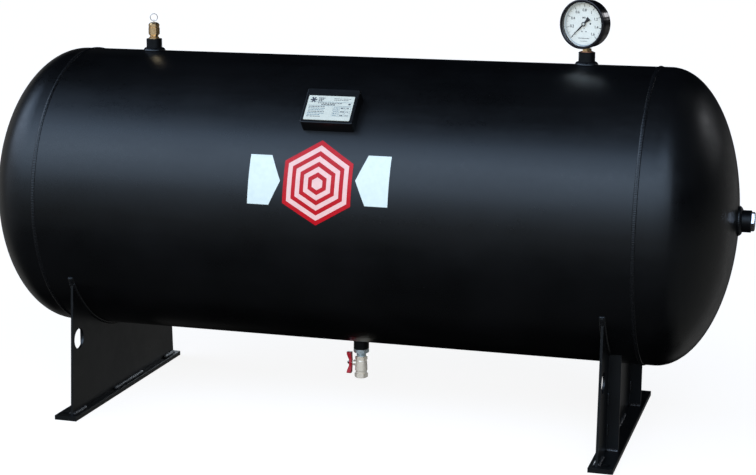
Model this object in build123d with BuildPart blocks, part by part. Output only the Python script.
from build123d import *
import os
from math import asin, cos, degrees, radians, sin, sqrt

# Horizontal compressed-air receiver tank on two plate legs, in millimetres.
# +X runs along the tank towards the gauge end, +Z is up, and -Y is the front (name plate side).
# The origin is on the ground, midway between the four anchor holes.

# ---------------------------------------------------------------- driving dimensions: vessel
AXIS_HEIGHT = 465.0            # tank axis above the ground
SHELL_RADIUS = 305.0           # outside radius of the shell
WALL = 5.0                     # shell and head thickness
SEAM_X = 625.0                 # each circumferential seam, from the middle of the tank
SEAM_GAP = 3.0                 # root gap between shell and head, filled by the weld
BEAD_WIDTH = 9.0               # weld cap across the seam
BEAD_HEIGHT = 1.8
HEAD_FLANGE = 20.0             # straight flange of a head
HEAD_DEPTH = 149.5             # outside depth of the ellipsoidal dish

# ---------------------------------------------------------------- driving dimensions: threads and bosses
THREAD_SLACK = 0.05            # radial slack between a male and a female thread, both as plain cylinders
G12_RADIUS = 9.9               # mean thread radius of G1/2
G34_RADIUS = 12.64             # mean thread radius of G3/4
G1_RADIUS = 15.88              # mean thread radius of G1
BOSS_HEIGHT = 26.0             # how far a boss stands out of the shell
BOSS_INSIDE = 4.0              # how far a boss reaches inside the wall
SMALL_BOSS_RADIUS = 17.0       # relief and gauge bosses
DRAIN_BOSS_RADIUS = 16.8
END_BOSS_RADIUS = 22.5
END_BOSS_HEIGHT = 25.5         # end boss, out of the head's apex
BOSS_WELD_LEG = 6.0
TOP_BOSS_X = 477.0             # relief boss at -X, gauge boss at +X

# ---------------------------------------------------------------- driving dimensions: legs
LEG_X = 565.0                  # middle of each leg plate
LEG_PLATE = 5.0                # leg plate thickness
LEG_BOTTOM_HALF = 272.5        # half width of the leg plate at the foot bar
LEG_TOP_HALF = 254.5           # half width of the leg plate at its tips on the shell
LIFT_HOLE_RADIUS = 22.0
LIFT_HOLE_Y = 233.0
LIFT_HOLE_Z = 169.0
RIB_Y = 165.0
RIB_WIDTH = 25.0
RIB_THICKNESS = 5.0
FOOT_LENGTH = 570.0
FOOT_WIDTH = 50.0
FOOT_THICKNESS = 10.0
FOOT_INBOARD = 13.0            # foot bar inboard of the leg plate's inner face
ANCHOR_X = 583.5
ANCHOR_Y = 263.0
ANCHOR_RADIUS = 7.0            # clearance hole for an M12 anchor
LEG_WELD = 5.0

# ---------------------------------------------------------------- driving dimensions: name plate
BRACKET_TILT = 44.0            # bracket's normal above the horizontal
BRACKET_X = 4.0
BRACKET_WIDTH = 110.0
BRACKET_TALL = 86.0
BRACKET_FACE = 330.0           # outer face of the bracket, from the tank axis
BRACKET_SHEET = 2.5
BRACKET_CORNER = 4.5
BRACKET_EDGE = 2.0
LABEL_WIDTH = 96.0
LABEL_TALL = 60.0
LABEL_DROP = 6.5               # label centre below the bracket's centre
LABEL_THICKNESS = 1.0
LABEL_CORNER = 2.0

# ---------------------------------------------------------------- driving dimensions: gauge
GAUGE_TURN = -18.0             # the dial faces a little towards -X
GAUGE_ABOVE_BOSS = 57.5        # dial centre above the boss's top face
GAUGE_CASE_RADIUS = 48.0
GAUGE_BEZEL_RADIUS = 50.0
GAUGE_BACK = 9.0               # case behind the connection's axis
GAUGE_FRONT = 28.0             # bezel in front of it
GAUGE_SHEET = 1.2
DIAL_RADIUS = 46.0
WINDOW_RADIUS = 44.3
POINTER_START = 225.0          # angle of the 0 mark, anticlockwise from +x of the dial
SECTOR_RATIO = 10.0            # pointer turns ten times as far as the sector
PINION_RADIUS = 2.0
LINK_ARM = 8.0                 # sector pivot to link pin

# ---------------------------------------------------------------- driving dimensions: relief valve
RELIEF_FLAT = 21.5             # hexagon across flats
RELIEF_HEX_LOW = 7.0           # start of the hexagon above the boss
RELIEF_SPLIT = 24.0            # joint between body and cap
RELIEF_TOP = 35.0              # top of the cap
RELIEF_EYE = 38.0              # centre of the stem's eye
RELIEF_TURN = 20.0             # eye and ring turned about the valve's axis
RELIEF_HEX_TURN = 13.0
RING_RADIUS = 7.9              # centre line of the pull ring
RING_WIRE = 0.75

# ---------------------------------------------------------------- driving dimensions: drain valve
NIPPLE_HEX = 30.0              # galvanised nipple, across flats
NIPPLE_HEX_TALL = 9.0
VALVE_TOP = 16.5               # top of the valve below the boss
STEM_DEPTH = 33.5              # stem axis below the boss
VALVE_SPLIT = 50.0             # joint between valve body and end piece
VALVE_BOTTOM = 65.0            # outlet face below the boss
VALVE_RADIUS = 13.0
BALL_RADIUS = 9.5
PORT_RADIUS = 5.0
STEM_RADIUS = 3.0
HANDLE_HALF = 24.0             # half length of the butterfly handle

os.makedirs("parts", exist_ok=True)

# ---------------------------------------------------------------- derived places
TANK_AXIS = Axis((0, 0, AXIS_HEIGHT), (1, 0, 0))
AXIS_PLANE = Plane(origin=(0, 0, AXIS_HEIGHT), x_dir=(1, 0, 0), z_dir=(0, -1, 0))
SHELL_TOP = AXIS_HEIGHT + SHELL_RADIUS
SHELL_BOTTOM = AXIS_HEIGHT - SHELL_RADIUS
BOSS_TOP = SHELL_TOP + BOSS_HEIGHT
DRAIN_FACE = SHELL_BOTTOM - BOSS_HEIGHT
SHELL_END = SEAM_X - SEAM_GAP / 2
HEAD_START = SEAM_X + SEAM_GAP / 2
DISH_START = HEAD_START + HEAD_FLANGE
APEX_X = DISH_START + HEAD_DEPTH
END_FACE = APEX_X + END_BOSS_HEIGHT


def export(block, label):
    """Name a finished piece and write its STEP file."""
    block.part.label = label
    export_step(block.part, f"parts/{label}.step")


def cross_plane(x):
    """Plane across the tank at x: local x is +Y, local y is +Z, normal is +X."""
    return Plane(origin=(x, 0, 0), x_dir=(0, 1, 0), z_dir=(1, 0, 0))


def upright_plane(x):
    """Plane along the tank through y = 0, with its origin at (x, 0, 0): local x is +X, local y is +Z."""
    return Plane(origin=(x, 0, 0), x_dir=(1, 0, 0), z_dir=(0, -1, 0))


def across_corners(flat):
    """Corner radius of a hexagon with this size across its flats."""
    return flat / sqrt(3)


# ================================================================ vessel
with BuildPart() as shell:
    with BuildSketch(cross_plane(-SHELL_END)):
        with Locations((0, AXIS_HEIGHT)):
            Circle(SHELL_RADIUS)
            Circle(SHELL_RADIUS - WALL, mode=Mode.SUBTRACT)
    extrude(amount=2 * SHELL_END)
    # holes for the two top bosses and the drain boss
    with BuildSketch(Plane.XY.offset(AXIS_HEIGHT)):
        with Locations((-TOP_BOSS_X, 0), (TOP_BOSS_X, 0)):
            Circle(SMALL_BOSS_RADIUS)
    extrude(amount=SHELL_RADIUS + WALL, mode=Mode.SUBTRACT)
    with BuildSketch(Plane.XY.offset(AXIS_HEIGHT)):
        Circle(DRAIN_BOSS_RADIUS)
    extrude(amount=-(SHELL_RADIUS + WALL), mode=Mode.SUBTRACT)
export(shell, "shell")


def build_head(side, label):
    """One ellipsoidal head; side is -1 for the left end and +1 for the right end."""
    with BuildPart() as head:
        with BuildSketch(AXIS_PLANE):
            with BuildLine():
                flange_out = Line((HEAD_START, SHELL_RADIUS), (DISH_START, SHELL_RADIUS))
                EllipticalCenterArc((DISH_START, 0), HEAD_DEPTH, SHELL_RADIUS, start_angle=0, arc_size=90)
                Line((APEX_X, 0), (APEX_X - WALL, 0))
                EllipticalCenterArc(
                    (DISH_START, 0), HEAD_DEPTH - WALL, SHELL_RADIUS - WALL, start_angle=0, arc_size=90
                )
                Line((DISH_START, SHELL_RADIUS - WALL), (HEAD_START, SHELL_RADIUS - WALL))
                Line((HEAD_START, SHELL_RADIUS - WALL), flange_out @ 0)
            make_face()
        revolve(axis=TANK_AXIS)
        if side > 0:
            with BuildSketch(cross_plane(DISH_START)):
                with Locations((0, AXIS_HEIGHT)):
                    Circle(END_BOSS_RADIUS)
            extrude(amount=HEAD_DEPTH + WALL, mode=Mode.SUBTRACT)
        else:
            mirror(about=Plane.YZ, mode=Mode.REPLACE)
    export(head, label)


build_head(-1, "left_head")
build_head(1, "right_head")


def build_seam_weld(x, label):
    """Ring weld at x: it fills the root gap and stands a little proud of the shell."""
    with BuildPart() as weld:
        with BuildSketch(AXIS_PLANE):
            with BuildLine():
                Line((x - SEAM_GAP / 2, SHELL_RADIUS - WALL), (x + SEAM_GAP / 2, SHELL_RADIUS - WALL))
                Line((x + SEAM_GAP / 2, SHELL_RADIUS - WALL), (x + SEAM_GAP / 2, SHELL_RADIUS))
                Line((x + SEAM_GAP / 2, SHELL_RADIUS), (x + BEAD_WIDTH / 2, SHELL_RADIUS))
                ThreePointArc(
                    (x + BEAD_WIDTH / 2, SHELL_RADIUS),
                    (x, SHELL_RADIUS + BEAD_HEIGHT),
                    (x - BEAD_WIDTH / 2, SHELL_RADIUS),
                )
                Line((x - BEAD_WIDTH / 2, SHELL_RADIUS), (x - SEAM_GAP / 2, SHELL_RADIUS))
                Line((x - SEAM_GAP / 2, SHELL_RADIUS), (x - SEAM_GAP / 2, SHELL_RADIUS - WALL))
            make_face()
        revolve(axis=TANK_AXIS)
    export(weld, label)


build_seam_weld(-SEAM_X, "left_seam_weld")
build_seam_weld(SEAM_X, "right_seam_weld")

# The shell is one rolled sheet; its closing weld runs along the back, a little above the middle.
LONG_SEAM_ANGLE = 20.0
long_seam_half = degrees(asin(BEAD_WIDTH / 2 / SHELL_RADIUS))
long_seam_length = 2 * (SEAM_X - BEAD_WIDTH / 2 - 1.0)


def rim_point(radius, angle):
    """Point on a circle round the tank axis in a cross plane; angle is from +Y."""
    return (radius * cos(radians(angle)), AXIS_HEIGHT + radius * sin(radians(angle)))


with BuildPart() as long_seam_weld:
    with BuildSketch(cross_plane(-long_seam_length / 2)):
        with BuildLine():
            ThreePointArc(
                rim_point(SHELL_RADIUS, LONG_SEAM_ANGLE - long_seam_half),
                rim_point(SHELL_RADIUS, LONG_SEAM_ANGLE),
                rim_point(SHELL_RADIUS, LONG_SEAM_ANGLE + long_seam_half),
            )
            ThreePointArc(
                rim_point(SHELL_RADIUS, LONG_SEAM_ANGLE + long_seam_half),
                rim_point(SHELL_RADIUS + BEAD_HEIGHT, LONG_SEAM_ANGLE),
                rim_point(SHELL_RADIUS, LONG_SEAM_ANGLE - long_seam_half),
            )
        make_face()
    extrude(amount=long_seam_length)
export(long_seam_weld, "long_seam_weld")


# ================================================================ bosses
def build_boss(x, side, radius, bore, label):
    """Threaded half coupling set through the shell; side is +1 on top and -1 underneath."""
    inner = AXIS_HEIGHT + side * (SHELL_RADIUS - WALL - BOSS_INSIDE)
    tall = side * (WALL + BOSS_INSIDE + BOSS_HEIGHT)
    with BuildPart() as boss:
        with BuildSketch(Plane.XY.offset(inner)):
            with Locations((x, 0)):
                Circle(radius)
                Circle(bore, mode=Mode.SUBTRACT)
        extrude(amount=tall)
        rim = boss.edges().filter_by(GeomType.CIRCLE).group_by(Axis.Z)[-1 if side > 0 else 0]
        chamfer(rim, length=0.8)
    export(boss, label)


def build_boss_weld(x, side, radius, label):
    """Fillet weld round a boss, seated on the curved shell."""
    top = AXIS_HEIGHT + side * (SHELL_RADIUS + BOSS_WELD_LEG)
    low = AXIS_HEIGHT + side * (SHELL_RADIUS - WALL / 2)
    toe = AXIS_HEIGHT + side * SHELL_RADIUS
    bulge = BOSS_WELD_LEG * 0.6
    with BuildPart() as weld:
        with BuildSketch(Plane(origin=(x, 0, 0), x_dir=(1, 0, 0), z_dir=(0, -1, 0))):
            with BuildLine():
                Line((radius, low), (radius, top))
                ThreePointArc(
                    (radius, top),
                    (radius + bulge, toe + side * bulge),
                    (radius + BOSS_WELD_LEG, toe),
                )
                Line((radius + BOSS_WELD_LEG, toe), (radius + BOSS_WELD_LEG, low))
                Line((radius + BOSS_WELD_LEG, low), (radius, low))
            make_face()
        revolve(axis=Axis((x, 0, 0), (0, 0, 1)))
        with BuildSketch(cross_plane(x - 2 * radius)):
            with Locations((0, AXIS_HEIGHT)):
                Circle(SHELL_RADIUS)
        extrude(amount=4 * radius, mode=Mode.SUBTRACT)
    export(weld, label)


build_boss(-TOP_BOSS_X, 1, SMALL_BOSS_RADIUS, G12_RADIUS, "relief_boss")
build_boss_weld(-TOP_BOSS_X, 1, SMALL_BOSS_RADIUS, "relief_boss_weld")
build_boss(TOP_BOSS_X, 1, SMALL_BOSS_RADIUS, G12_RADIUS, "gauge_boss")
build_boss_weld(TOP_BOSS_X, 1, SMALL_BOSS_RADIUS, "gauge_boss_weld")
build_boss(0, -1, DRAIN_BOSS_RADIUS, G34_RADIUS, "drain_boss")
build_boss_weld(0, -1, DRAIN_BOSS_RADIUS, "drain_boss_weld")

with BuildPart() as end_boss:
    with BuildSketch(cross_plane(APEX_X - WALL - BOSS_INSIDE)):
        with Locations((0, AXIS_HEIGHT)):
            Circle(END_BOSS_RADIUS)
            Circle(G1_RADIUS, mode=Mode.SUBTRACT)
    extrude(amount=WALL + BOSS_INSIDE + END_BOSS_HEIGHT)
    chamfer(end_boss.edges().filter_by(GeomType.CIRCLE).group_by(Axis.X)[-1], length=0.8)
export(end_boss, "end_boss")

with BuildPart() as end_boss_weld:
    end_weld_leg = 1.3 * BOSS_WELD_LEG
    end_weld_bulge = 0.6 * end_weld_leg
    with BuildSketch(AXIS_PLANE):
        with BuildLine():
            Line((APEX_X - WALL, END_BOSS_RADIUS), (APEX_X + end_weld_leg, END_BOSS_RADIUS))
            ThreePointArc(
                (APEX_X + end_weld_leg, END_BOSS_RADIUS),
                (APEX_X + end_weld_bulge, END_BOSS_RADIUS + end_weld_bulge),
                (APEX_X, END_BOSS_RADIUS + end_weld_leg),
            )
            Line((APEX_X, END_BOSS_RADIUS + end_weld_leg), (APEX_X - WALL, END_BOSS_RADIUS + end_weld_leg))
            Line((APEX_X - WALL, END_BOSS_RADIUS + end_weld_leg), (APEX_X - WALL, END_BOSS_RADIUS))
        make_face()
        with Locations((DISH_START, 0)):
            Ellipse(HEAD_DEPTH, SHELL_RADIUS, mode=Mode.SUBTRACT)
    revolve(axis=TANK_AXIS)
export(end_boss_weld, "end_boss_weld")

# ================================================================ end plug
WASHER = 1.0
PLUG_FLAT = 36.0
PLUG_HEX = 6.0
PLUG_THREAD = 15.0
PLUG_RECESS_RADIUS = 9.0
PLUG_RECESS_DEPTH = 3.0
THREAD_CHAMFER = 0.8

with BuildPart() as end_plug_washer:
    with BuildSketch(cross_plane(END_FACE)):
        with Locations((0, AXIS_HEIGHT)):
            Circle(G1_RADIUS + 3.6)
            Circle(G1_RADIUS + 0.4, mode=Mode.SUBTRACT)
    extrude(amount=WASHER)
export(end_plug_washer, "end_plug_washer")

with BuildPart() as end_plug:
    # threaded shank inside the boss
    with BuildSketch(cross_plane(END_FACE - PLUG_THREAD)):
        with Locations((0, AXIS_HEIGHT)):
            Circle(G1_RADIUS - THREAD_SLACK)
    extrude(amount=PLUG_THREAD + WASHER)
    chamfer(end_plug.edges().filter_by(GeomType.CIRCLE).group_by(Axis.X)[0], length=THREAD_CHAMFER)
    # hexagon head, with its corners turned off by a cone
    with BuildSketch(cross_plane(END_FACE + WASHER)):
        with Locations((0, AXIS_HEIGHT)):
            RegularPolygon(across_corners(PLUG_FLAT), 6)
    extrude(amount=PLUG_HEX)
    with BuildSketch(AXIS_PLANE):
        with BuildLine():
            Polyline(
                (END_FACE - PLUG_THREAD, 0),
                (END_FACE - PLUG_THREAD, PLUG_FLAT),
                (END_FACE + WASHER + PLUG_HEX - 2.4, PLUG_FLAT / 2 + 4.0),
                (END_FACE + WASHER + PLUG_HEX, PLUG_FLAT / 2 - 0.6),
                (END_FACE + WASHER + PLUG_HEX, 0),
                close=True,
            )
        make_face()
    revolve(axis=TANK_AXIS, mode=Mode.INTERSECT)
    # forged recess in the head
    with BuildSketch(cross_plane(END_FACE + WASHER + PLUG_HEX)):
        with Locations((0, AXIS_HEIGHT)):
            Circle(PLUG_RECESS_RADIUS)
    extrude(amount=-PLUG_RECESS_DEPTH, mode=Mode.SUBTRACT)
export(end_plug, "end_plug")


# ================================================================ legs
def build_leg(side, prefix):
    """Plate, ribs, foot bar and welds of one leg; side is -1 on the left and +1 on the right."""
    inner_face = side * (LEG_X - LEG_PLATE / 2)
    outer_face = side * (LEG_X + LEG_PLATE / 2)
    tip_height = AXIS_HEIGHT - sqrt(SHELL_RADIUS**2 - LEG_TOP_HALF**2)

    with BuildPart() as plate:
        with BuildSketch(cross_plane(LEG_X * side - LEG_PLATE / 2)):
            with BuildLine():
                Polyline(
                    (-LEG_TOP_HALF, tip_height),
                    (-LEG_BOTTOM_HALF, FOOT_THICKNESS),
                    (LEG_BOTTOM_HALF, FOOT_THICKNESS),
                    (LEG_TOP_HALF, tip_height),
                )
                ThreePointArc(
                    (LEG_TOP_HALF, tip_height),
                    (0, SHELL_BOTTOM),
                    (-LEG_TOP_HALF, tip_height),
                )
            make_face()
            with Locations((-LIFT_HOLE_Y, LIFT_HOLE_Z), (LIFT_HOLE_Y, LIFT_HOLE_Z)):
                Circle(LIFT_HOLE_RADIUS, mode=Mode.SUBTRACT)
        extrude(amount=LEG_PLATE)
    export(plate, f"{prefix}_leg_plate")

    with BuildPart() as ribs:
        with BuildSketch(Plane.XY.offset(FOOT_THICKNESS)):
            with Locations(
                (outer_face + side * RIB_WIDTH / 2, -RIB_Y),
                (outer_face + side * RIB_WIDTH / 2, RIB_Y),
            ):
                Rectangle(RIB_WIDTH, RIB_THICKNESS)
        extrude(amount=AXIS_HEIGHT - FOOT_THICKNESS)
        with BuildSketch(cross_plane(side * LEG_X - 2 * RIB_WIDTH)):
            with Locations((0, AXIS_HEIGHT)):
                Circle(SHELL_RADIUS)
        extrude(amount=4 * RIB_WIDTH, mode=Mode.SUBTRACT)
    export(ribs, f"{prefix}_leg_ribs")

    with BuildPart() as foot:
        foot_middle = inner_face + side * (FOOT_WIDTH / 2 - FOOT_INBOARD)
        with BuildSketch():
            with Locations((foot_middle, 0)):
                Rectangle(FOOT_WIDTH, FOOT_LENGTH)
            with Locations((side * ANCHOR_X, -ANCHOR_Y), (side * ANCHOR_X, ANCHOR_Y)):
                Circle(ANCHOR_RADIUS, mode=Mode.SUBTRACT)
        extrude(amount=FOOT_THICKNESS)
        long_edges = foot.edges().filter_by(Axis.Y).group_by(Axis.Z)[-1]
        chamfer(long_edges, length=0.8)
    export(foot, f"{prefix}_foot_bar")

    with BuildPart() as welds:
        # along the shell: one run inside, three outside, between the ribs
        tip_angle = degrees(asin(LEG_TOP_HALF / SHELL_RADIUS)) - 0.3
        rib_angle = degrees(asin(RIB_Y / SHELL_RADIUS))
        rib_gap = 1.2
        runs = [
            (inner_face, -side, -tip_angle, tip_angle),
            (outer_face, side, -tip_angle, -rib_angle - rib_gap),
            (outer_face, side, -rib_angle + rib_gap, rib_angle - rib_gap),
            (outer_face, side, rib_angle + rib_gap, tip_angle),
        ]
        for face_x, out, start, end in runs:
            turn = radians(start)
            radial = Plane(
                origin=(face_x, 0, AXIS_HEIGHT),
                x_dir=(out, 0, 0),
                z_dir=(0, out * cos(turn), out * sin(turn)),
            )
            with BuildSketch(radial):
                with BuildLine():
                    Line((0, SHELL_RADIUS), (LEG_WELD, SHELL_RADIUS))
                    ThreePointArc(
                        (LEG_WELD, SHELL_RADIUS),
                        (LEG_WELD * 0.6, SHELL_RADIUS + LEG_WELD * 0.6),
                        (0, SHELL_RADIUS + LEG_WELD),
                    )
                    Line((0, SHELL_RADIUS + LEG_WELD), (0, SHELL_RADIUS))
                make_face()
            revolve(axis=TANK_AXIS, revolution_arc=end - start)
        # along the foot: short runs at both ends and in the middle, on both faces
        foot_runs = [(-LEG_BOTTOM_HALF, -214.0), (-66.0, 84.0), (214.0, LEG_BOTTOM_HALF)]
        for face_x, out in ((inner_face, -side), (outer_face, side)):
            for start, end in foot_runs:
                across = Plane(origin=(face_x, start, FOOT_THICKNESS), x_dir=(out, 0, 0), z_dir=(0, -out, 0))
                with BuildSketch(across):
                    with BuildLine():
                        Line((0, 0), (LEG_WELD, 0))
                        ThreePointArc((LEG_WELD, 0), (LEG_WELD * 0.6, LEG_WELD * 0.6), (0, LEG_WELD))
                        Line((0, LEG_WELD), (0, 0))
                    make_face()
                extrude(amount=-out * (end - start))
        # across each rib's foot, front and back
        for rib_y in (-RIB_Y, RIB_Y):
            for face in (-1, 1):
                rib_face = rib_y + face * RIB_THICKNESS / 2
                along = Plane(
                    origin=(outer_face + side * RIB_WIDTH, rib_face, FOOT_THICKNESS),
                    x_dir=(0, face, 0),
                    z_dir=(face, 0, 0),
                )
                with BuildSketch(along):
                    with BuildLine():
                        Line((0, 0), (LEG_WELD, 0))
                        ThreePointArc((LEG_WELD, 0), (LEG_WELD * 0.6, LEG_WELD * 0.6), (0, LEG_WELD))
                        Line((0, LEG_WELD), (0, 0))
                    make_face()
                extrude(amount=-side * face * (RIB_WIDTH - 1.0))
    export(welds, f"{prefix}_leg_welds")


build_leg(-1, "left")
build_leg(1, "right")


# ================================================================ name plate
BRACKET_PLANE = Plane(
    origin=(BRACKET_X, 0, AXIS_HEIGHT),
    x_dir=(1, 0, 0),
    z_dir=(0, -cos(radians(BRACKET_TILT)), sin(radians(BRACKET_TILT))),
)

with BuildPart() as nameplate_bracket:
    # a shallow folded tray, open towards the shell, its rim cut to the shell's curve
    with BuildSketch(BRACKET_PLANE.offset(BRACKET_FACE)):
        RectangleRounded(BRACKET_WIDTH, BRACKET_TALL, BRACKET_CORNER)
    extrude(amount=-(BRACKET_FACE - SHELL_RADIUS + BRACKET_SHEET * 2))
    outward = Axis(BRACKET_PLANE.origin, BRACKET_PLANE.z_dir)
    fillet(nameplate_bracket.faces().sort_by(outward)[-1].edges(), radius=BRACKET_EDGE)
    with BuildSketch(BRACKET_PLANE.offset(BRACKET_FACE - BRACKET_SHEET)):
        RectangleRounded(
            BRACKET_WIDTH - 2 * BRACKET_SHEET,
            BRACKET_TALL - 2 * BRACKET_SHEET,
            BRACKET_CORNER - BRACKET_SHEET,
        )
    extrude(amount=-BRACKET_FACE / 2, mode=Mode.SUBTRACT)
    with BuildSketch(cross_plane(BRACKET_X - BRACKET_WIDTH)):
        with Locations((0, AXIS_HEIGHT)):
            Circle(SHELL_RADIUS)
    extrude(amount=2 * BRACKET_WIDTH, mode=Mode.SUBTRACT)
export(nameplate_bracket, "nameplate_bracket")

with BuildPart() as data_plate:
    with BuildSketch(BRACKET_PLANE.offset(BRACKET_FACE)):
        with Locations((0, -LABEL_DROP)):
            RectangleRounded(LABEL_WIDTH, LABEL_TALL, LABEL_CORNER)
    extrude(amount=LABEL_THICKNESS)
export(data_plate, "data_plate")


# ================================================================ relief valve
RELIEF_AXIS = Axis((-TOP_BOSS_X, 0, 0), (0, 0, 1))
RELIEF_SHANK = 12.0            # thread inside the boss
RELIEF_SEAT = 4.0              # seat above the boss
RELIEF_BORE = 7.6              # spring chamber
RELIEF_PORT = 4.0
RELIEF_STEM = 1.5
SPRING_RADIUS = 5.2
SPRING_WIRE = 0.7
SPRING_LOW = 9.0
SPRING_HIGH = 22.0
SPRING_TURNS = 6
DISC_RADIUS = 6.0
RELIEF_VENT_HEIGHT = 5.5
RELIEF_VENTS = 8
RELIEF_VENT_RADIUS = 1.0
CAP_GAP = 0.5                  # groove between body and cap


def relief_turn(*points, mode=Mode.ADD):
    """Turn a profile, given as (radius, height above the boss), about the relief valve's axis."""
    with BuildSketch(upright_plane(-TOP_BOSS_X)) as profile:
        with BuildLine():
            Polyline(*[(radius, BOSS_TOP + height) for radius, height in points], close=True)
        make_face()
    revolve(profile.sketch, axis=RELIEF_AXIS, mode=mode)


with BuildPart() as relief_body:
    # hexagon with turned corners
    with BuildSketch(Plane.XY.offset(BOSS_TOP + RELIEF_HEX_LOW)):
        with Locations((-TOP_BOSS_X, 0)):
            RegularPolygon(across_corners(RELIEF_FLAT), 6, rotation=RELIEF_HEX_TURN)
    extrude(amount=RELIEF_SPLIT - RELIEF_HEX_LOW)
    relief_turn(
        (0, RELIEF_HEX_LOW),
        (RELIEF_FLAT / 2 - 1.2, RELIEF_HEX_LOW),
        (RELIEF_FLAT / 2 + 2.4, RELIEF_HEX_LOW + 3.4),
        (RELIEF_FLAT / 2 + 2.4, RELIEF_SPLIT - 0.6),
        (RELIEF_FLAT / 2 + 0.6, RELIEF_SPLIT),
        (0, RELIEF_SPLIT),
        mode=Mode.INTERSECT,
    )
    # threaded shank, flared shoulder on the boss and narrower neck
    relief_turn(
        (0, -RELIEF_SHANK),
        (G12_RADIUS - THREAD_SLACK - 0.8, -RELIEF_SHANK),
        (G12_RADIUS - THREAD_SLACK, -RELIEF_SHANK + 0.8),
        (G12_RADIUS - THREAD_SLACK, 0),
        (11.4, 0),
        (11.4, 2.2),
        (9.2, 4.0),
        (9.2, RELIEF_HEX_LOW),
        (0, RELIEF_HEX_LOW),
    )
    # inlet port, seat and spring chamber
    relief_turn(
        (0, -RELIEF_SHANK),
        (RELIEF_PORT, -RELIEF_SHANK),
        (RELIEF_PORT, RELIEF_SEAT),
        (RELIEF_PORT + 0.8, RELIEF_SEAT),
        (RELIEF_PORT + 0.8, RELIEF_SEAT - 1.0),
        (RELIEF_BORE, RELIEF_SEAT - 1.0),
        (RELIEF_BORE, RELIEF_SPLIT),
        (0, RELIEF_SPLIT),
        mode=Mode.SUBTRACT,
    )
    # discharge holes through the neck
    for turn in range(RELIEF_VENTS):
        vent_angle = turn * 360 / RELIEF_VENTS
        vent_plane = Plane(
            origin=(-TOP_BOSS_X, 0, BOSS_TOP + RELIEF_VENT_HEIGHT),
            z_dir=(cos(radians(vent_angle)), sin(radians(vent_angle)), 0),
        )
        with BuildSketch(vent_plane.offset(RELIEF_BORE - 1.0)):
            Circle(RELIEF_VENT_RADIUS)
        extrude(amount=RELIEF_FLAT / 2, mode=Mode.SUBTRACT)
export(relief_body, "relief_body")

with BuildPart() as relief_cap:
    with BuildSketch(Plane.XY.offset(BOSS_TOP + RELIEF_SPLIT)):
        with Locations((-TOP_BOSS_X, 0)):
            RegularPolygon(across_corners(RELIEF_FLAT), 6, rotation=RELIEF_HEX_TURN)
    extrude(amount=RELIEF_TOP - RELIEF_SPLIT)
    relief_turn(
        (0, RELIEF_SPLIT),
        (RELIEF_FLAT / 2 - 0.6, RELIEF_SPLIT),
        (RELIEF_FLAT / 2 - 0.6, RELIEF_SPLIT + CAP_GAP),
        (RELIEF_FLAT / 2 + 1.0, RELIEF_SPLIT + 2 * CAP_GAP),
        (RELIEF_FLAT / 2 + 1.4, RELIEF_TOP - 4.5),
        (RELIEF_FLAT / 2 - 1.4, RELIEF_TOP - 1.4),
        (RELIEF_FLAT / 2 - 4.0, RELIEF_TOP),
        (0, RELIEF_TOP),
        mode=Mode.INTERSECT,
    )
    # male thread into the body's spring chamber, bored for the spring
    relief_turn(
        (SPRING_RADIUS + 1.4, SPRING_HIGH - 4.0),
        (RELIEF_BORE - THREAD_SLACK, SPRING_HIGH - 4.0),
        (RELIEF_BORE - THREAD_SLACK, RELIEF_SPLIT),
        (SPRING_RADIUS + 1.4, RELIEF_SPLIT),
    )
    # spring seat and stem bore
    relief_turn(
        (0, SPRING_HIGH),
        (RELIEF_STEM + THREAD_SLACK, SPRING_HIGH),
        (RELIEF_STEM + THREAD_SLACK, RELIEF_TOP),
        (0, RELIEF_TOP),
        mode=Mode.SUBTRACT,
    )
export(relief_cap, "relief_cap")

with BuildPart() as relief_disc:
    relief_turn(
        (0, RELIEF_SEAT + 1.5),
        (DISC_RADIUS, RELIEF_SEAT + 1.5),
        (DISC_RADIUS + 1.2, RELIEF_SEAT + 2.0),
        (DISC_RADIUS + 1.2, SPRING_LOW),
        (SPRING_RADIUS - 1.2, SPRING_LOW),
        (SPRING_RADIUS - 1.2, SPRING_LOW + 1.5),
        (RELIEF_STEM, SPRING_LOW + 1.5),
        (RELIEF_STEM, RELIEF_SEAT + 3.0),
        (0, RELIEF_SEAT + 3.0),
    )
export(relief_disc, "relief_disc")

with BuildPart() as relief_seal:
    relief_turn(
        (0, RELIEF_SEAT),
        (DISC_RADIUS - 0.4, RELIEF_SEAT),
        (DISC_RADIUS - 0.4, RELIEF_SEAT + 1.5),
        (0, RELIEF_SEAT + 1.5),
    )
export(relief_seal, "relief_seal")

# The eye's hole lies along EYE_AXIS, and the pull ring stands in the plane of that axis and +Z.
eye_turn = radians(RELIEF_TURN)
EYE_CENTRE = Vector(-TOP_BOSS_X, 0, BOSS_TOP + RELIEF_EYE)
EYE_AXIS = Vector(cos(eye_turn), sin(eye_turn), 0)
RING_NORMAL = Vector(-sin(eye_turn), cos(eye_turn), 0)
EYE_PLANE = Plane(origin=EYE_CENTRE, x_dir=RING_NORMAL, z_dir=EYE_AXIS)
EYE_RADIUS = 2.5
EYE_HOLE = 1.3
EYE_THICKNESS = 2.0

with BuildPart() as relief_stem:
    relief_turn(
        (0, RELIEF_SEAT + 3.0),
        (RELIEF_STEM, RELIEF_SEAT + 3.0),
        (RELIEF_STEM, RELIEF_EYE - EYE_HOLE - 0.8),
        (0, RELIEF_EYE - EYE_HOLE - 0.8),
    )
    with BuildSketch(EYE_PLANE):
        Circle(EYE_RADIUS)
    extrude(amount=EYE_THICKNESS / 2, both=True)
    with BuildSketch(EYE_PLANE):
        Circle(EYE_HOLE)
    extrude(amount=EYE_THICKNESS, both=True, mode=Mode.SUBTRACT)
export(relief_stem, "relief_stem")

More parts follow.
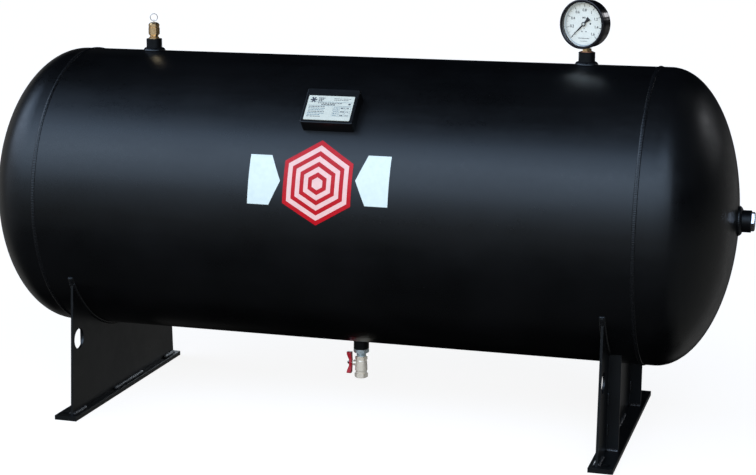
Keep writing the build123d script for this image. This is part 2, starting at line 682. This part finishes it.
with BuildPart() as relief_spring:
    spring_pitch = (SPRING_HIGH - SPRING_LOW - 2 * SPRING_WIRE - 0.2) / SPRING_TURNS
    spring_start = BOSS_TOP + SPRING_LOW + SPRING_WIRE + 0.1
    with BuildLine():
        spring_path = Helix(
            spring_pitch,
            spring_pitch * SPRING_TURNS,
            SPRING_RADIUS,
            center=(-TOP_BOSS_X, 0, spring_start),
        )
    with BuildSketch(Plane(origin=spring_path @ 0, z_dir=spring_path % 0)):
        Circle(SPRING_WIRE)
    sweep()
export(relief_spring, "relief_spring")

with BuildPart() as relief_ring:
    ring_centre = EYE_CENTRE + Vector(0, 0, RING_RADIUS)
    with BuildSketch(Plane(origin=ring_centre + EYE_AXIS * RING_RADIUS, z_dir=(0, 0, 1))):
        Circle(RING_WIRE)
    revolve(axis=Axis(ring_centre, RING_NORMAL))
export(relief_ring, "relief_ring")


# ================================================================ pressure gauge
GAUGE_Z = BOSS_TOP + GAUGE_ABOVE_BOSS
gauge_turn = radians(GAUGE_TURN)
GAUGE_PLANE = Plane(
    origin=(TOP_BOSS_X, 0, GAUGE_Z),
    x_dir=(cos(gauge_turn), sin(gauge_turn), 0),
    z_dir=(sin(gauge_turn), -cos(gauge_turn), 0),
)
GAUGE_AXIS = Axis((TOP_BOSS_X, 0, GAUGE_Z), (sin(gauge_turn), -cos(gauge_turn), 0))
GAUGE_SIDE_PLANE = Plane(
    origin=(TOP_BOSS_X, 0, GAUGE_Z),
    x_dir=(sin(gauge_turn), -cos(gauge_turn), 0),
    z_dir=(-cos(gauge_turn), -sin(gauge_turn), 0),
)
SOCKET_NECK = 5.8              # socket's radius where it leaves the case
CASE_RIM = 22.0                # front edge of the case
GLASS_BACK = 22.0
GLASS_THICKNESS = 2.0
DIAL_BACK = 15.0
DIAL_THICKNESS = 0.8
POINTER_BACK = 18.2
POINTER_THICKNESS = 0.7
POINTER_HUB = 3.4
SPINDLE_RADIUS = 0.9
STOP_PIN_RADIUS = 26.0         # stop pin's distance from the dial's centre
STOP_PIN_ANGLE = POINTER_START + 2.6


def gauge_direction(angle):
    """Direction in the dial's plane at this angle, anticlockwise from +x of the dial."""
    turn = radians(angle)
    return GAUGE_PLANE.x_dir * cos(turn) + GAUGE_PLANE.y_dir * sin(turn)


def gauge_disc(low, high, radius, hole=0.0, mode=Mode.ADD):
    """Disc or ring about the dial's centre between two depths in front of the connection's axis."""
    with BuildSketch(GAUGE_PLANE.offset(low)) as disc:
        Circle(radius)
        if hole > 0:
            Circle(hole, mode=Mode.SUBTRACT)
    extrude(disc.sketch, amount=high - low, mode=mode)


def gauge_turned(*points):
    """Turn a profile of (depth, radius) points about the dial's axis."""
    with BuildSketch(GAUGE_SIDE_PLANE) as profile:
        with BuildLine():
            Polyline(*points, close=True)
        make_face()
    revolve(profile.sketch, axis=GAUGE_AXIS)


with BuildPart() as gauge_case:
    gauge_turned(
        (-GAUGE_BACK, 0),
        (-GAUGE_BACK, GAUGE_CASE_RADIUS - 3.0),
        (-GAUGE_BACK + 0.9, GAUGE_CASE_RADIUS - 0.9),
        (-GAUGE_BACK + 3.0, GAUGE_CASE_RADIUS),
        (CASE_RIM, GAUGE_CASE_RADIUS),
        (CASE_RIM, GAUGE_CASE_RADIUS - GAUGE_SHEET),
        (-GAUGE_BACK + 3.0, GAUGE_CASE_RADIUS - GAUGE_SHEET),
        (-GAUGE_BACK + GAUGE_SHEET, GAUGE_CASE_RADIUS - 3.2),
        (-GAUGE_BACK + GAUGE_SHEET, 0),
    )
    # opening for the socket at the bottom
    with BuildSketch(Plane.XY.offset(GAUGE_Z - GAUGE_CASE_RADIUS - 1.0)):
        with Locations((TOP_BOSS_X, 0)):
            Circle(SOCKET_NECK)
    extrude(amount=6.0, mode=Mode.SUBTRACT)
export(gauge_case, "gauge_case")

with BuildPart() as gauge_bezel:
    gauge_turned(
        (CASE_RIM - 5.0, GAUGE_CASE_RADIUS),
        (CASE_RIM - 5.0, GAUGE_BEZEL_RADIUS - 0.5),
        (CASE_RIM - 4.0, GAUGE_BEZEL_RADIUS),
        (GAUGE_FRONT - 1.6, GAUGE_BEZEL_RADIUS),
        (GAUGE_FRONT - 0.5, GAUGE_BEZEL_RADIUS - 0.6),
        (GAUGE_FRONT, GAUGE_BEZEL_RADIUS - 1.8),
        (GAUGE_FRONT, WINDOW_RADIUS + 1.6),
        (GAUGE_FRONT - 1.2, WINDOW_RADIUS),
        (GLASS_BACK + GLASS_THICKNESS, WINDOW_RADIUS),
        (GLASS_BACK + GLASS_THICKNESS, GAUGE_CASE_RADIUS - 0.5),
        (GLASS_BACK, GAUGE_CASE_RADIUS - 0.5),
        (GLASS_BACK, GAUGE_CASE_RADIUS),
    )
export(gauge_bezel, "gauge_bezel")

with BuildPart() as gauge_glass:
    gauge_disc(GLASS_BACK, GLASS_BACK + GLASS_THICKNESS, GAUGE_CASE_RADIUS - 0.5)
export(gauge_glass, "gauge_glass")

with BuildPart() as gauge_dial:
    gauge_disc(DIAL_BACK, DIAL_BACK + DIAL_THICKNESS, DIAL_RADIUS, hole=2.2)
    # stop pin that the pointer rests on at zero
    with BuildSketch(GAUGE_PLANE.offset(DIAL_BACK + DIAL_THICKNESS)):
        with PolarLocations(STOP_PIN_RADIUS, 1, start_angle=STOP_PIN_ANGLE):
            Circle(0.5)
    extrude(amount=3.6)
export(gauge_dial, "gauge_dial")

with BuildPart() as gauge_pointer:
    # slim tapered blade, round hub and a broad triangular tail, pointing at the zero mark
    pointer_plane = Plane(
        origin=GAUGE_PLANE.origin + GAUGE_PLANE.z_dir * POINTER_BACK,
        x_dir=gauge_direction(POINTER_START),
        z_dir=GAUGE_PLANE.z_dir,
    )
    with BuildSketch(pointer_plane):
        with BuildLine():
            Polyline(
                (37.0, 0),
                (20.0, 0.8),
                (0, 1.4),
                (-5.0, 1.4),
                (-16.5, 4.7),
                (-16.5, -4.7),
                (-5.0, -1.4),
                (0, -1.4),
                (20.0, -0.8),
                close=True,
            )
        make_face()
        Circle(POINTER_HUB)
        Circle(SPINDLE_RADIUS + 0.1, mode=Mode.SUBTRACT)
    extrude(amount=POINTER_THICKNESS)
export(gauge_pointer, "gauge_pointer")

MOVEMENT_BACK = -4.0
MOVEMENT_FRONT = 13.0
MOVEMENT_SHEET = 1.2
MOVEMENT_WIDTH = 20.0
MOVEMENT_TALL = 36.0
MOVEMENT_MIDDLE = -12.0        # middle of the plates below the dial's centre
PILLAR = (8.2, 2.5)
PILLAR_RADIUS = 1.3
SECTOR_LOW = -1.0
SECTOR_HIGH = 0.6
SECTOR_RADIUS = PINION_RADIUS * SECTOR_RATIO
SECTOR_PIVOT = (0.0, -(PINION_RADIUS + SECTOR_RADIUS + 0.1))
SECTOR_FROM = 57.0             # the toothed edge, as angles about the pivot
SECTOR_SPREAD = 40.0
PIVOT_RADIUS = 0.85
TAIL_ANGLE = -13.5             # the link's pin starts as far below level as it ends above
LINK_PIN_RADIUS = 0.6
LINK_LENGTH = 14.0
LINK_WIDTH = 3.0
LINK_LOW = SECTOR_HIGH + 0.3
LINK_THICKNESS = 0.8
PIN_TALL = 1.6

with BuildPart() as gauge_spindle:
    gauge_disc(MOVEMENT_BACK + MOVEMENT_SHEET + 0.1, SECTOR_LOW - 0.3, SPINDLE_RADIUS)
    gauge_disc(SECTOR_LOW - 0.3, SECTOR_HIGH + 0.3, PINION_RADIUS)
    gauge_disc(SECTOR_HIGH + 0.3, POINTER_BACK, SPINDLE_RADIUS)
    gauge_disc(POINTER_BACK, POINTER_BACK + POINTER_THICKNESS + 0.4, SPINDLE_RADIUS + 0.08)
    gauge_disc(POINTER_BACK + POINTER_THICKNESS, POINTER_BACK + POINTER_THICKNESS + 1.0, 1.9)
export(gauge_spindle, "gauge_spindle")

with BuildPart() as gauge_movement:
    for plate_low in (MOVEMENT_BACK, MOVEMENT_FRONT):
        with BuildSketch(GAUGE_PLANE.offset(plate_low)):
            with Locations((0, MOVEMENT_MIDDLE)):
                RectangleRounded(MOVEMENT_WIDTH, MOVEMENT_TALL, 4.0)
            Circle(SPINDLE_RADIUS + 0.1, mode=Mode.SUBTRACT)
            with Locations(SECTOR_PIVOT):
                Circle(PIVOT_RADIUS + 0.05, mode=Mode.SUBTRACT)
        extrude(amount=MOVEMENT_SHEET)
    # two pillars beside the spindle
    with BuildSketch(GAUGE_PLANE.offset(MOVEMENT_BACK + MOVEMENT_SHEET)):
        with Locations((-PILLAR[0], PILLAR[1]), PILLAR):
            Circle(PILLAR_RADIUS)
    extrude(amount=MOVEMENT_FRONT - MOVEMENT_BACK - MOVEMENT_SHEET)
export(gauge_movement, "gauge_movement")

SECTOR_PLANE = Plane(
    origin=GAUGE_PLANE.from_local_coords(Vector(SECTOR_PIVOT[0], SECTOR_PIVOT[1], SECTOR_LOW)),
    x_dir=GAUGE_PLANE.x_dir,
    z_dir=GAUGE_PLANE.z_dir,
)
TAIL_PLANE = Plane(
    origin=SECTOR_PLANE.origin,
    x_dir=gauge_direction(TAIL_ANGLE),
    z_dir=GAUGE_PLANE.z_dir,
)

with BuildPart() as gauge_sector:
    with BuildSketch(SECTOR_PLANE):
        with BuildLine():
            rim = CenterArc((0, 0), SECTOR_RADIUS, SECTOR_FROM, SECTOR_SPREAD)
            Line(rim @ 1, (0, 0))
            Line((0, 0), rim @ 0)
        make_face()
        Circle(3.0)
    extrude(amount=SECTOR_HIGH - SECTOR_LOW)
    # tail, with the pin that carries the link
    with BuildSketch(TAIL_PLANE):
        with Locations((LINK_ARM / 2, 0)):
            SlotOverall(LINK_ARM + LINK_WIDTH, LINK_WIDTH)
    extrude(amount=SECTOR_HIGH - SECTOR_LOW)
    with BuildSketch(TAIL_PLANE.offset(SECTOR_HIGH - SECTOR_LOW)):
        with Locations((LINK_ARM, 0)):
            Circle(LINK_PIN_RADIUS)
    extrude(amount=PIN_TALL)
    # pivots in both movement plates
    with BuildSketch(SECTOR_PLANE.offset(MOVEMENT_BACK - SECTOR_LOW + 0.2)):
        Circle(PIVOT_RADIUS)
    extrude(amount=MOVEMENT_FRONT - MOVEMENT_BACK + MOVEMENT_SHEET - 0.4)
export(gauge_sector, "gauge_sector")

PIN_X = SECTOR_PIVOT[0] + LINK_ARM * cos(radians(TAIL_ANGLE))
PIN_Y = SECTOR_PIVOT[1] + LINK_ARM * sin(radians(TAIL_ANGLE))
TIP_X = PIN_X
TIP_Y = PIN_Y + LINK_LENGTH

with BuildPart() as gauge_link:
    # flat bar from the sector's pin up to the tube's tip; its top carries the pin that rides in the tip
    with BuildSketch(GAUGE_PLANE.offset(LINK_LOW)):
        with Locations((PIN_X, (PIN_Y + TIP_Y) / 2)):
            SlotOverall(LINK_LENGTH + LINK_WIDTH, LINK_WIDTH, rotation=90)
        with Locations((PIN_X, PIN_Y)):
            Circle(LINK_PIN_RADIUS + 0.05, mode=Mode.SUBTRACT)
    extrude(amount=LINK_THICKNESS)
    with BuildSketch(GAUGE_PLANE.offset(LINK_LOW + LINK_THICKNESS)):
        with Locations((TIP_X, TIP_Y)):
            Circle(LINK_PIN_RADIUS)
    extrude(amount=PIN_TALL)
export(gauge_link, "gauge_link")

TUBE_RADIUS = 36.0             # centre line of the coiled tube
TUBE_TIP = -12.0               # angle of the closed end
TUBE_ROOT = 268.0              # angle of the end soldered into the socket
TUBE_THIN = 2.2                # half thickness of the flattened section, radially
TUBE_DEEP = 4.2                # half depth of the section, along the dial's axis
TUBE_WALL = 0.5
LUG_LOW = LINK_LOW + LINK_THICKNESS + 0.2
LUG_THICKNESS = 1.1
LUG_WIDTH = 8.4
SLOT_WIDE = 1.6                # the link's pin rides up this slot as the sector turns
SLOT_TALL = 5.4
SLOT_MIDDLE = TIP_Y - LINK_ARM * sin(radians(TAIL_ANGLE))
TUBE_PLANE = Plane(
    origin=GAUGE_PLANE.origin,
    x_dir=gauge_direction(TUBE_TIP),
    z_dir=gauge_direction(TUBE_TIP - 90.0),
)

with BuildPart() as gauge_bourdon_tube:
    with BuildSketch(TUBE_PLANE):
        with Locations((TUBE_RADIUS, 0)):
            Ellipse(TUBE_THIN, TUBE_DEEP)
            Ellipse(TUBE_THIN - TUBE_WALL, TUBE_DEEP - TUBE_WALL, mode=Mode.SUBTRACT)
    revolve(axis=GAUGE_AXIS, revolution_arc=TUBE_ROOT - TUBE_TIP)
    # end cap
    with BuildSketch(TUBE_PLANE):
        with Locations((TUBE_RADIUS, 0)):
            Ellipse(TUBE_THIN, TUBE_DEEP)
    extrude(amount=1.0)
    # slotted lug from the end cap to the link's upper pin
    with BuildSketch(GAUGE_PLANE.offset(LUG_LOW)):
        with BuildLine():
            Polyline(
                (TIP_X - 2.4, SLOT_MIDDLE - LUG_WIDTH / 2),
                (TIP_X + 6.0, SLOT_MIDDLE - LUG_WIDTH / 2),
                (TUBE_RADIUS - 0.6, SLOT_MIDDLE - 1.0),
                (TUBE_RADIUS - 0.6, SLOT_MIDDLE + 2.0),
                (TIP_X + 6.0, SLOT_MIDDLE + LUG_WIDTH / 2),
                (TIP_X - 2.4, SLOT_MIDDLE + LUG_WIDTH / 2),
                close=True,
            )
        make_face()
        with Locations((TIP_X + 0.1, SLOT_MIDDLE)):
            SlotOverall(SLOT_TALL, SLOT_WIDE, rotation=90, mode=Mode.SUBTRACT)
    extrude(amount=LUG_THICKNESS)
export(gauge_bourdon_tube, "gauge_bourdon_tube")

SOCKET_SHANK = 14.0
SOCKET_FLAT = 18.0
SOCKET_WASHER = 1.5
SOCKET_WASHER_RADIUS = 13.0
SOCKET_BORE = 2.5
BLOCK_WIDTH = 15.0             # block that holds the coiled tube's root
BLOCK_TALL = 14.0
BLOCK_BACK = -6.0
BLOCK_DEEP = 11.0

with BuildPart() as gauge_socket:
    hex_low = BOSS_TOP + SOCKET_WASHER
    hex_high = GAUGE_Z - GAUGE_BEZEL_RADIUS - 0.4
    # threaded shank in the boss
    with BuildSketch(Plane.XY.offset(BOSS_TOP - SOCKET_SHANK)):
        with Locations((TOP_BOSS_X, 0)):
            Circle(G12_RADIUS - THREAD_SLACK)
    extrude(amount=SOCKET_SHANK)
    with BuildSketch(Plane.XY.offset(BOSS_TOP)):
        with Locations((TOP_BOSS_X, 0)):
            Circle(SOCKET_NECK)
    extrude(amount=SOCKET_WASHER)
    # wrench hexagon between boss and case
    with BuildSketch(Plane.XY.offset(hex_low)):
        with Locations((TOP_BOSS_X, 0)):
            RegularPolygon(across_corners(SOCKET_FLAT), 6, rotation=GAUGE_TURN)
    extrude(amount=hex_high - hex_low)
    # neck into the case, and the block inside it
    with BuildSketch(Plane.XY.offset(hex_high)):
        with Locations((TOP_BOSS_X, 0)):
            Circle(SOCKET_NECK - 0.1)
    extrude(amount=GAUGE_Z - GAUGE_CASE_RADIUS + 3.0 - hex_high)
    with BuildSketch(GAUGE_PLANE.offset(BLOCK_BACK)):
        with Locations((0, -(TUBE_RADIUS + 3.0))):
            RectangleRounded(BLOCK_WIDTH, BLOCK_TALL, 2.0)
    extrude(amount=BLOCK_DEEP)
    # pressure passage, and the pocket that the tube's root is soldered into
    with BuildSketch(Plane.XY.offset(BOSS_TOP - SOCKET_SHANK)):
        with Locations((TOP_BOSS_X, 0)):
            Circle(SOCKET_BORE)
    extrude(amount=SOCKET_SHANK + GAUGE_ABOVE_BOSS - TUBE_RADIUS, mode=Mode.SUBTRACT)
    with BuildSketch(TUBE_PLANE):
        with Locations((TUBE_RADIUS, 0)):
            Ellipse(TUBE_THIN, TUBE_DEEP)
    revolve(axis=GAUGE_AXIS, revolution_arc=TUBE_ROOT - TUBE_TIP, mode=Mode.SUBTRACT)
export(gauge_socket, "gauge_socket")

with BuildPart() as gauge_washer:
    with BuildSketch(Plane.XY.offset(BOSS_TOP)):
        with Locations((TOP_BOSS_X, 0)):
            Circle(SOCKET_WASHER_RADIUS)
            Circle(SOCKET_NECK, mode=Mode.SUBTRACT)
    extrude(amount=SOCKET_WASHER)
export(gauge_washer, "gauge_washer")


# ================================================================ drain valve
DRAIN_AXIS = Axis((0, 0, 0), (0, 0, 1))
NIPPLE_SHANK = 14.0            # G3/4 thread in the boss
VALVE_SOCKET = 6.5             # depth of the valve's upper socket
OUTLET_SOCKET = 12.0           # depth of the outlet's thread
BORE_RADIUS = 5.5
CHAMBER_RADIUS = 10.0
UPPER_SEAT = 10.0              # upper seat's shoulder above the ball's centre
SEAT_THICK = 4.0
END_SHANK = 8.0                # end piece's thread inside the body
VALVE_FLAT = 24.0
OUTLET_FLAT = 26.0
STEM_BOSS_RADIUS = 6.5
STEM_BOSS_END = 17.0           # stem boss's face from the valve's axis
GLAND_END = 19.5
GLAND_FLAT = 10.0
DRAIN_HEX_TURN = 6.0
HUB_START = 20.5
HUB_END = 26.5
STEM_END = 32.0
STEM_SQUARE = 4.2              # flats that drive the handle
STEM_TIP_RADIUS = 2.0
STEM_COLLAR = 4.0
STEM_COLLAR_END = 12.2
PACKING_START = 14.0
PACKING_END = 16.0
PACKING_RADIUS = 4.6
NIPPLE_BORE = 7.0
RIDGE_PITCH = 1.814            # thread pitch of G1/2
RIDGES = 3
BALL_SLOT_DEPTH = 2.5
BALL_SLOT_WIDTH = 3.0
END_HEX_TOP = VALVE_SPLIT + 4.0


def drain_height(depth):
    """Height of a point given by its depth below the drain boss's face."""
    return DRAIN_FACE - depth


STEM_Z = drain_height(STEM_DEPTH)
STEM_AXIS = Axis((0, 0, STEM_Z), (-1, 0, 0))


def drain_turn(*points, mode=Mode.ADD):
    """Turn a profile of (radius, depth below the boss's face) points about the drain's axis."""
    with BuildSketch(upright_plane(0)) as profile:
        with BuildLine():
            Polyline(*[(radius, drain_height(depth)) for radius, depth in points], close=True)
        make_face()
    revolve(profile.sketch, axis=DRAIN_AXIS, mode=mode)


def drain_hexagon(flat, top, bottom):
    """Hexagonal prism about the drain's axis between two depths."""
    with BuildSketch(Plane.XY.offset(drain_height(bottom))) as outline:
        RegularPolygon(across_corners(flat), 6, rotation=DRAIN_HEX_TURN)
    extrude(outline.sketch, amount=bottom - top)


def stem_plane(distance):
    """Plane across the stem at this distance from the valve's axis, facing away from the valve."""
    return Plane(origin=(-distance, 0, STEM_Z), x_dir=(0, 1, 0), z_dir=(-1, 0, 0))


def stem_disc(start, end, radius, hole=0.0, mode=Mode.ADD):
    """Disc or ring about the stem's axis between two distances from the valve's axis."""
    with BuildSketch(stem_plane(start)) as disc:
        Circle(radius)
        if hole > 0:
            Circle(hole, mode=Mode.SUBTRACT)
    extrude(disc.sketch, amount=end - start, mode=mode)


with BuildPart() as drain_nipple:
    drain_hexagon(NIPPLE_HEX, 0, NIPPLE_HEX_TALL)
    drain_turn(
        (0, 0),
        (NIPPLE_HEX / 2 - 0.4, 0),
        (NIPPLE_HEX / 2 + 2.4, 1.8),
        (NIPPLE_HEX / 2 + 2.4, NIPPLE_HEX_TALL - 1.8),
        (NIPPLE_HEX / 2 - 0.4, NIPPLE_HEX_TALL),
        (0, NIPPLE_HEX_TALL),
        mode=Mode.INTERSECT,
    )
    drain_turn(
        (0, -NIPPLE_SHANK),
        (G34_RADIUS - THREAD_SLACK - 0.8, -NIPPLE_SHANK),
        (G34_RADIUS - THREAD_SLACK, -NIPPLE_SHANK + 0.8),
        (G34_RADIUS - THREAD_SLACK, 0),
        (0, 0),
    )
    drain_turn(
        (0, NIPPLE_HEX_TALL),
        (G12_RADIUS - THREAD_SLACK, NIPPLE_HEX_TALL),
        (G12_RADIUS - THREAD_SLACK, VALVE_TOP + VALVE_SOCKET - 1.2),
        (G12_RADIUS - THREAD_SLACK - 0.7, VALVE_TOP + VALVE_SOCKET - 0.5),
        (0, VALVE_TOP + VALVE_SOCKET - 0.5),
    )
    # thread ridges on the stretch that shows between hexagon and valve
    for ridge in range(RIDGES):
        ridge_depth = NIPPLE_HEX_TALL + 1.2 + ridge * RIDGE_PITCH
        drain_turn(
            (G12_RADIUS - 0.3, ridge_depth),
            (G12_RADIUS + 0.5, ridge_depth + RIDGE_PITCH / 2),
            (G12_RADIUS - 0.3, ridge_depth + RIDGE_PITCH),
        )
    drain_turn(
        (0, -NIPPLE_SHANK),
        (NIPPLE_BORE, -NIPPLE_SHANK),
        (NIPPLE_BORE, VALVE_TOP + VALVE_SOCKET - 0.5),
        (0, VALVE_TOP + VALVE_SOCKET - 0.5),
        mode=Mode.SUBTRACT,
    )
export(drain_nipple, "drain_nipple")

BALL_TOP_SHOULDER = STEM_DEPTH - UPPER_SEAT

with BuildPart() as valve_body:
    # upper hexagon with turned corners, then the round barrel widening to the joint
    drain_hexagon(VALVE_FLAT, VALVE_TOP, VALVE_TOP + 9.0)
    drain_turn(
        (0, VALVE_TOP),
        (VALVE_FLAT / 2 - 0.7, VALVE_TOP),
        (VALVE_FLAT / 2 + 1.8, VALVE_TOP + 1.5),
        (VALVE_FLAT / 2 + 1.8, VALVE_TOP + 7.6),
        (VALVE_FLAT / 2 - 0.7, VALVE_TOP + 9.0),
        (0, VALVE_TOP + 9.0),
        mode=Mode.INTERSECT,
    )
    drain_turn(
        (0, VALVE_TOP + 8.0),
        (VALVE_FLAT / 2 - 1.0, VALVE_TOP + 8.0),
        (VALVE_RADIUS - 0.6, VALVE_TOP + 11.0),
        (VALVE_RADIUS + 0.2, STEM_DEPTH + 4.0),
        (VALVE_RADIUS + 0.6, VALVE_SPLIT - 2.0),
        (VALVE_RADIUS - 0.4, VALVE_SPLIT),
        (0, VALVE_SPLIT),
    )
    stem_disc(0, STEM_BOSS_END, STEM_BOSS_RADIUS)
    # upper socket, waterway, seat pocket, ball chamber and the end piece's thread
    drain_turn(
        (0, VALVE_TOP),
        (G12_RADIUS, VALVE_TOP),
        (G12_RADIUS, VALVE_TOP + VALVE_SOCKET),
        (BORE_RADIUS, VALVE_TOP + VALVE_SOCKET),
        (BORE_RADIUS, BALL_TOP_SHOULDER),
        (CHAMBER_RADIUS, BALL_TOP_SHOULDER),
        (CHAMBER_RADIUS, VALVE_SPLIT),
        (0, VALVE_SPLIT),
        mode=Mode.SUBTRACT,
    )
    stem_disc(0, STEM_COLLAR_END + 0.2, STEM_COLLAR + 0.3, mode=Mode.SUBTRACT)
    stem_disc(0, PACKING_START, STEM_RADIUS + THREAD_SLACK, mode=Mode.SUBTRACT)
    stem_disc(PACKING_START, STEM_BOSS_END, PACKING_RADIUS, mode=Mode.SUBTRACT)
export(valve_body, "valve_body")

with BuildPart() as valve_seats:
    for way in (-1, 1):
        drain_turn(
            (BORE_RADIUS, STEM_DEPTH + way * (UPPER_SEAT - SEAT_THICK)),
            (CHAMBER_RADIUS - THREAD_SLACK, STEM_DEPTH + way * (UPPER_SEAT - SEAT_THICK)),
            (CHAMBER_RADIUS - THREAD_SLACK, STEM_DEPTH + way * UPPER_SEAT),
            (BORE_RADIUS, STEM_DEPTH + way * UPPER_SEAT),
        )
    with Locations((0, 0, STEM_Z)):
        Sphere(BALL_RADIUS + THREAD_SLACK, mode=Mode.SUBTRACT)
export(valve_seats, "valve_seats")

with BuildPart() as valve_ball:
    with Locations((0, 0, STEM_Z)):
        Sphere(BALL_RADIUS)
    with BuildSketch(Plane.XY.offset(STEM_Z - 2 * BALL_RADIUS)):
        Circle(PORT_RADIUS)
    extrude(amount=4 * BALL_RADIUS, mode=Mode.SUBTRACT)
    # slot for the stem's tang
    with BuildSketch(stem_plane(BALL_RADIUS - BALL_SLOT_DEPTH)):
        Rectangle(BALL_SLOT_WIDTH, 4 * BALL_RADIUS)
    extrude(amount=BALL_RADIUS, mode=Mode.SUBTRACT)
export(valve_ball, "valve_ball")

with BuildPart() as valve_end:
    # outlet hexagon with turned corners
    drain_hexagon(OUTLET_FLAT, END_HEX_TOP, VALVE_BOTTOM)
    drain_turn(
        (0, END_HEX_TOP),
        (OUTLET_FLAT / 2 - 0.9, END_HEX_TOP),
        (OUTLET_FLAT / 2 + 2.0, END_HEX_TOP + 1.7),
        (OUTLET_FLAT / 2 + 2.0, VALVE_BOTTOM - 1.7),
        (OUTLET_FLAT / 2 - 0.9, VALVE_BOTTOM),
        (0, VALVE_BOTTOM),
        mode=Mode.INTERSECT,
    )
    # collar below the body, and the thread inside it
    drain_turn(
        (0, STEM_DEPTH + UPPER_SEAT),
        (CHAMBER_RADIUS - THREAD_SLACK, STEM_DEPTH + UPPER_SEAT),
        (CHAMBER_RADIUS - THREAD_SLACK, VALVE_SPLIT),
        (VALVE_RADIUS - 0.8, VALVE_SPLIT),
        (VALVE_RADIUS - 0.8, END_HEX_TOP),
        (0, END_HEX_TOP),
    )
    # waterway and outlet thread
    drain_turn(
        (0, STEM_DEPTH + UPPER_SEAT),
        (BORE_RADIUS, STEM_DEPTH + UPPER_SEAT),
        (BORE_RADIUS, VALVE_BOTTOM - OUTLET_SOCKET),
        (G12_RADIUS, VALVE_BOTTOM - OUTLET_SOCKET),
        (G12_RADIUS, VALVE_BOTTOM),
        (0, VALVE_BOTTOM),
        mode=Mode.SUBTRACT,
    )
export(valve_end, "valve_end")

with BuildPart() as valve_stem:
    stem_disc(BALL_RADIUS + 0.3, STEM_COLLAR_END, STEM_COLLAR)
    stem_disc(STEM_COLLAR_END, HUB_START, STEM_RADIUS)
    # flats for the handle, then the threaded tip for its nut
    with BuildSketch(stem_plane(HUB_START)):
        Rectangle(STEM_SQUARE, STEM_SQUARE)
    extrude(amount=HUB_END - HUB_START)
    stem_disc(HUB_END, STEM_END, STEM_TIP_RADIUS)
    # tang in the ball's slot
    with BuildSketch(stem_plane(BALL_RADIUS - BALL_SLOT_DEPTH + 0.1)):
        Rectangle(BALL_SLOT_WIDTH - 0.1, 6.6)
    extrude(amount=BALL_SLOT_DEPTH + 0.4)
export(valve_stem, "valve_stem")

with BuildPart() as valve_packing:
    stem_disc(PACKING_START, PACKING_END, PACKING_RADIUS - THREAD_SLACK, hole=STEM_RADIUS + THREAD_SLACK)
export(valve_packing, "valve_packing")

with BuildPart() as valve_gland:
    with BuildSketch(stem_plane(STEM_BOSS_END)):
        RegularPolygon(across_corners(GLAND_FLAT), 6)
    extrude(amount=GLAND_END - STEM_BOSS_END)
    stem_disc(PACKING_END, STEM_BOSS_END, PACKING_RADIUS - THREAD_SLACK)
    stem_disc(PACKING_END, GLAND_END, STEM_RADIUS + THREAD_SLACK, mode=Mode.SUBTRACT)
export(valve_gland, "valve_gland")

HUB_RADIUS = 6.4
NUT_RECESS = 5.2
NUT_FLAT = 7.0
NUT_TALL = 3.6
WING_CORNER = 3.0

with BuildPart() as valve_handle:
    # side profile: a flat hub whose wings bend away from the valve towards their tips
    with BuildSketch(Plane(origin=(0, 10.0, STEM_Z), x_dir=(-1, 0, 0), z_dir=(0, 1, 0))) as side_profile:
        for way in (-1, 1):
            with BuildLine():
                Polyline(
                    (HUB_START + 0.5, 0),
                    (HUB_START + 0.5, way * 7.0),
                    (HUB_START + 1.4, way * 15.0),
                    (HUB_START + 2.0, way * HANDLE_HALF),
                    (HUB_START + 11.6, way * HANDLE_HALF),
                    (HUB_START + 10.4, way * 17.0),
                    (HUB_START + 6.6, way * 7.0),
                    (HUB_START + 6.0, 0),
                    close=True,
                )
            make_face()
    extrude(side_profile.sketch, amount=-20.0)
    # plan outline: narrow waist, rounded wide wing tips
    with BuildSketch(stem_plane(0)) as plan:
        with BuildLine():
            Polyline(
                (-6.0, 0),
                (-4.6, 8.0),
                (-7.5, HANDLE_HALF),
                (7.5, HANDLE_HALF),
                (4.6, 8.0),
                (6.0, 0),
                (4.6, -8.0),
                (7.5, -HANDLE_HALF),
                (-7.5, -HANDLE_HALF),
                (-4.6, -8.0),
                close=True,
            )
        make_face()
        wing_corners = plan.vertices().group_by(Axis.Z)
        fillet(wing_corners[0] + wing_corners[-1], radius=WING_CORNER)
    extrude(plan.sketch, amount=2 * HANDLE_HALF, mode=Mode.INTERSECT)
    # hub, square hole for the stem and recess for the nut
    stem_disc(HUB_START, HUB_END, HUB_RADIUS)
    with BuildSketch(stem_plane(HUB_START)) as square_hole:
        Rectangle(STEM_SQUARE + 0.1, STEM_SQUARE + 0.1)
    extrude(square_hole.sketch, amount=HUB_END - HUB_START, mode=Mode.SUBTRACT)
    stem_disc(HUB_END, HUB_END + 10.0, NUT_RECESS, mode=Mode.SUBTRACT)
export(valve_handle, "valve_handle")

with BuildPart() as valve_handle_nut:
    with BuildSketch(stem_plane(HUB_END)):
        RegularPolygon(across_corners(NUT_FLAT), 6)
        Circle(STEM_TIP_RADIUS + THREAD_SLACK, mode=Mode.SUBTRACT)
    extrude(amount=NUT_TALL)
export(valve_handle_nut, "valve_handle_nut")
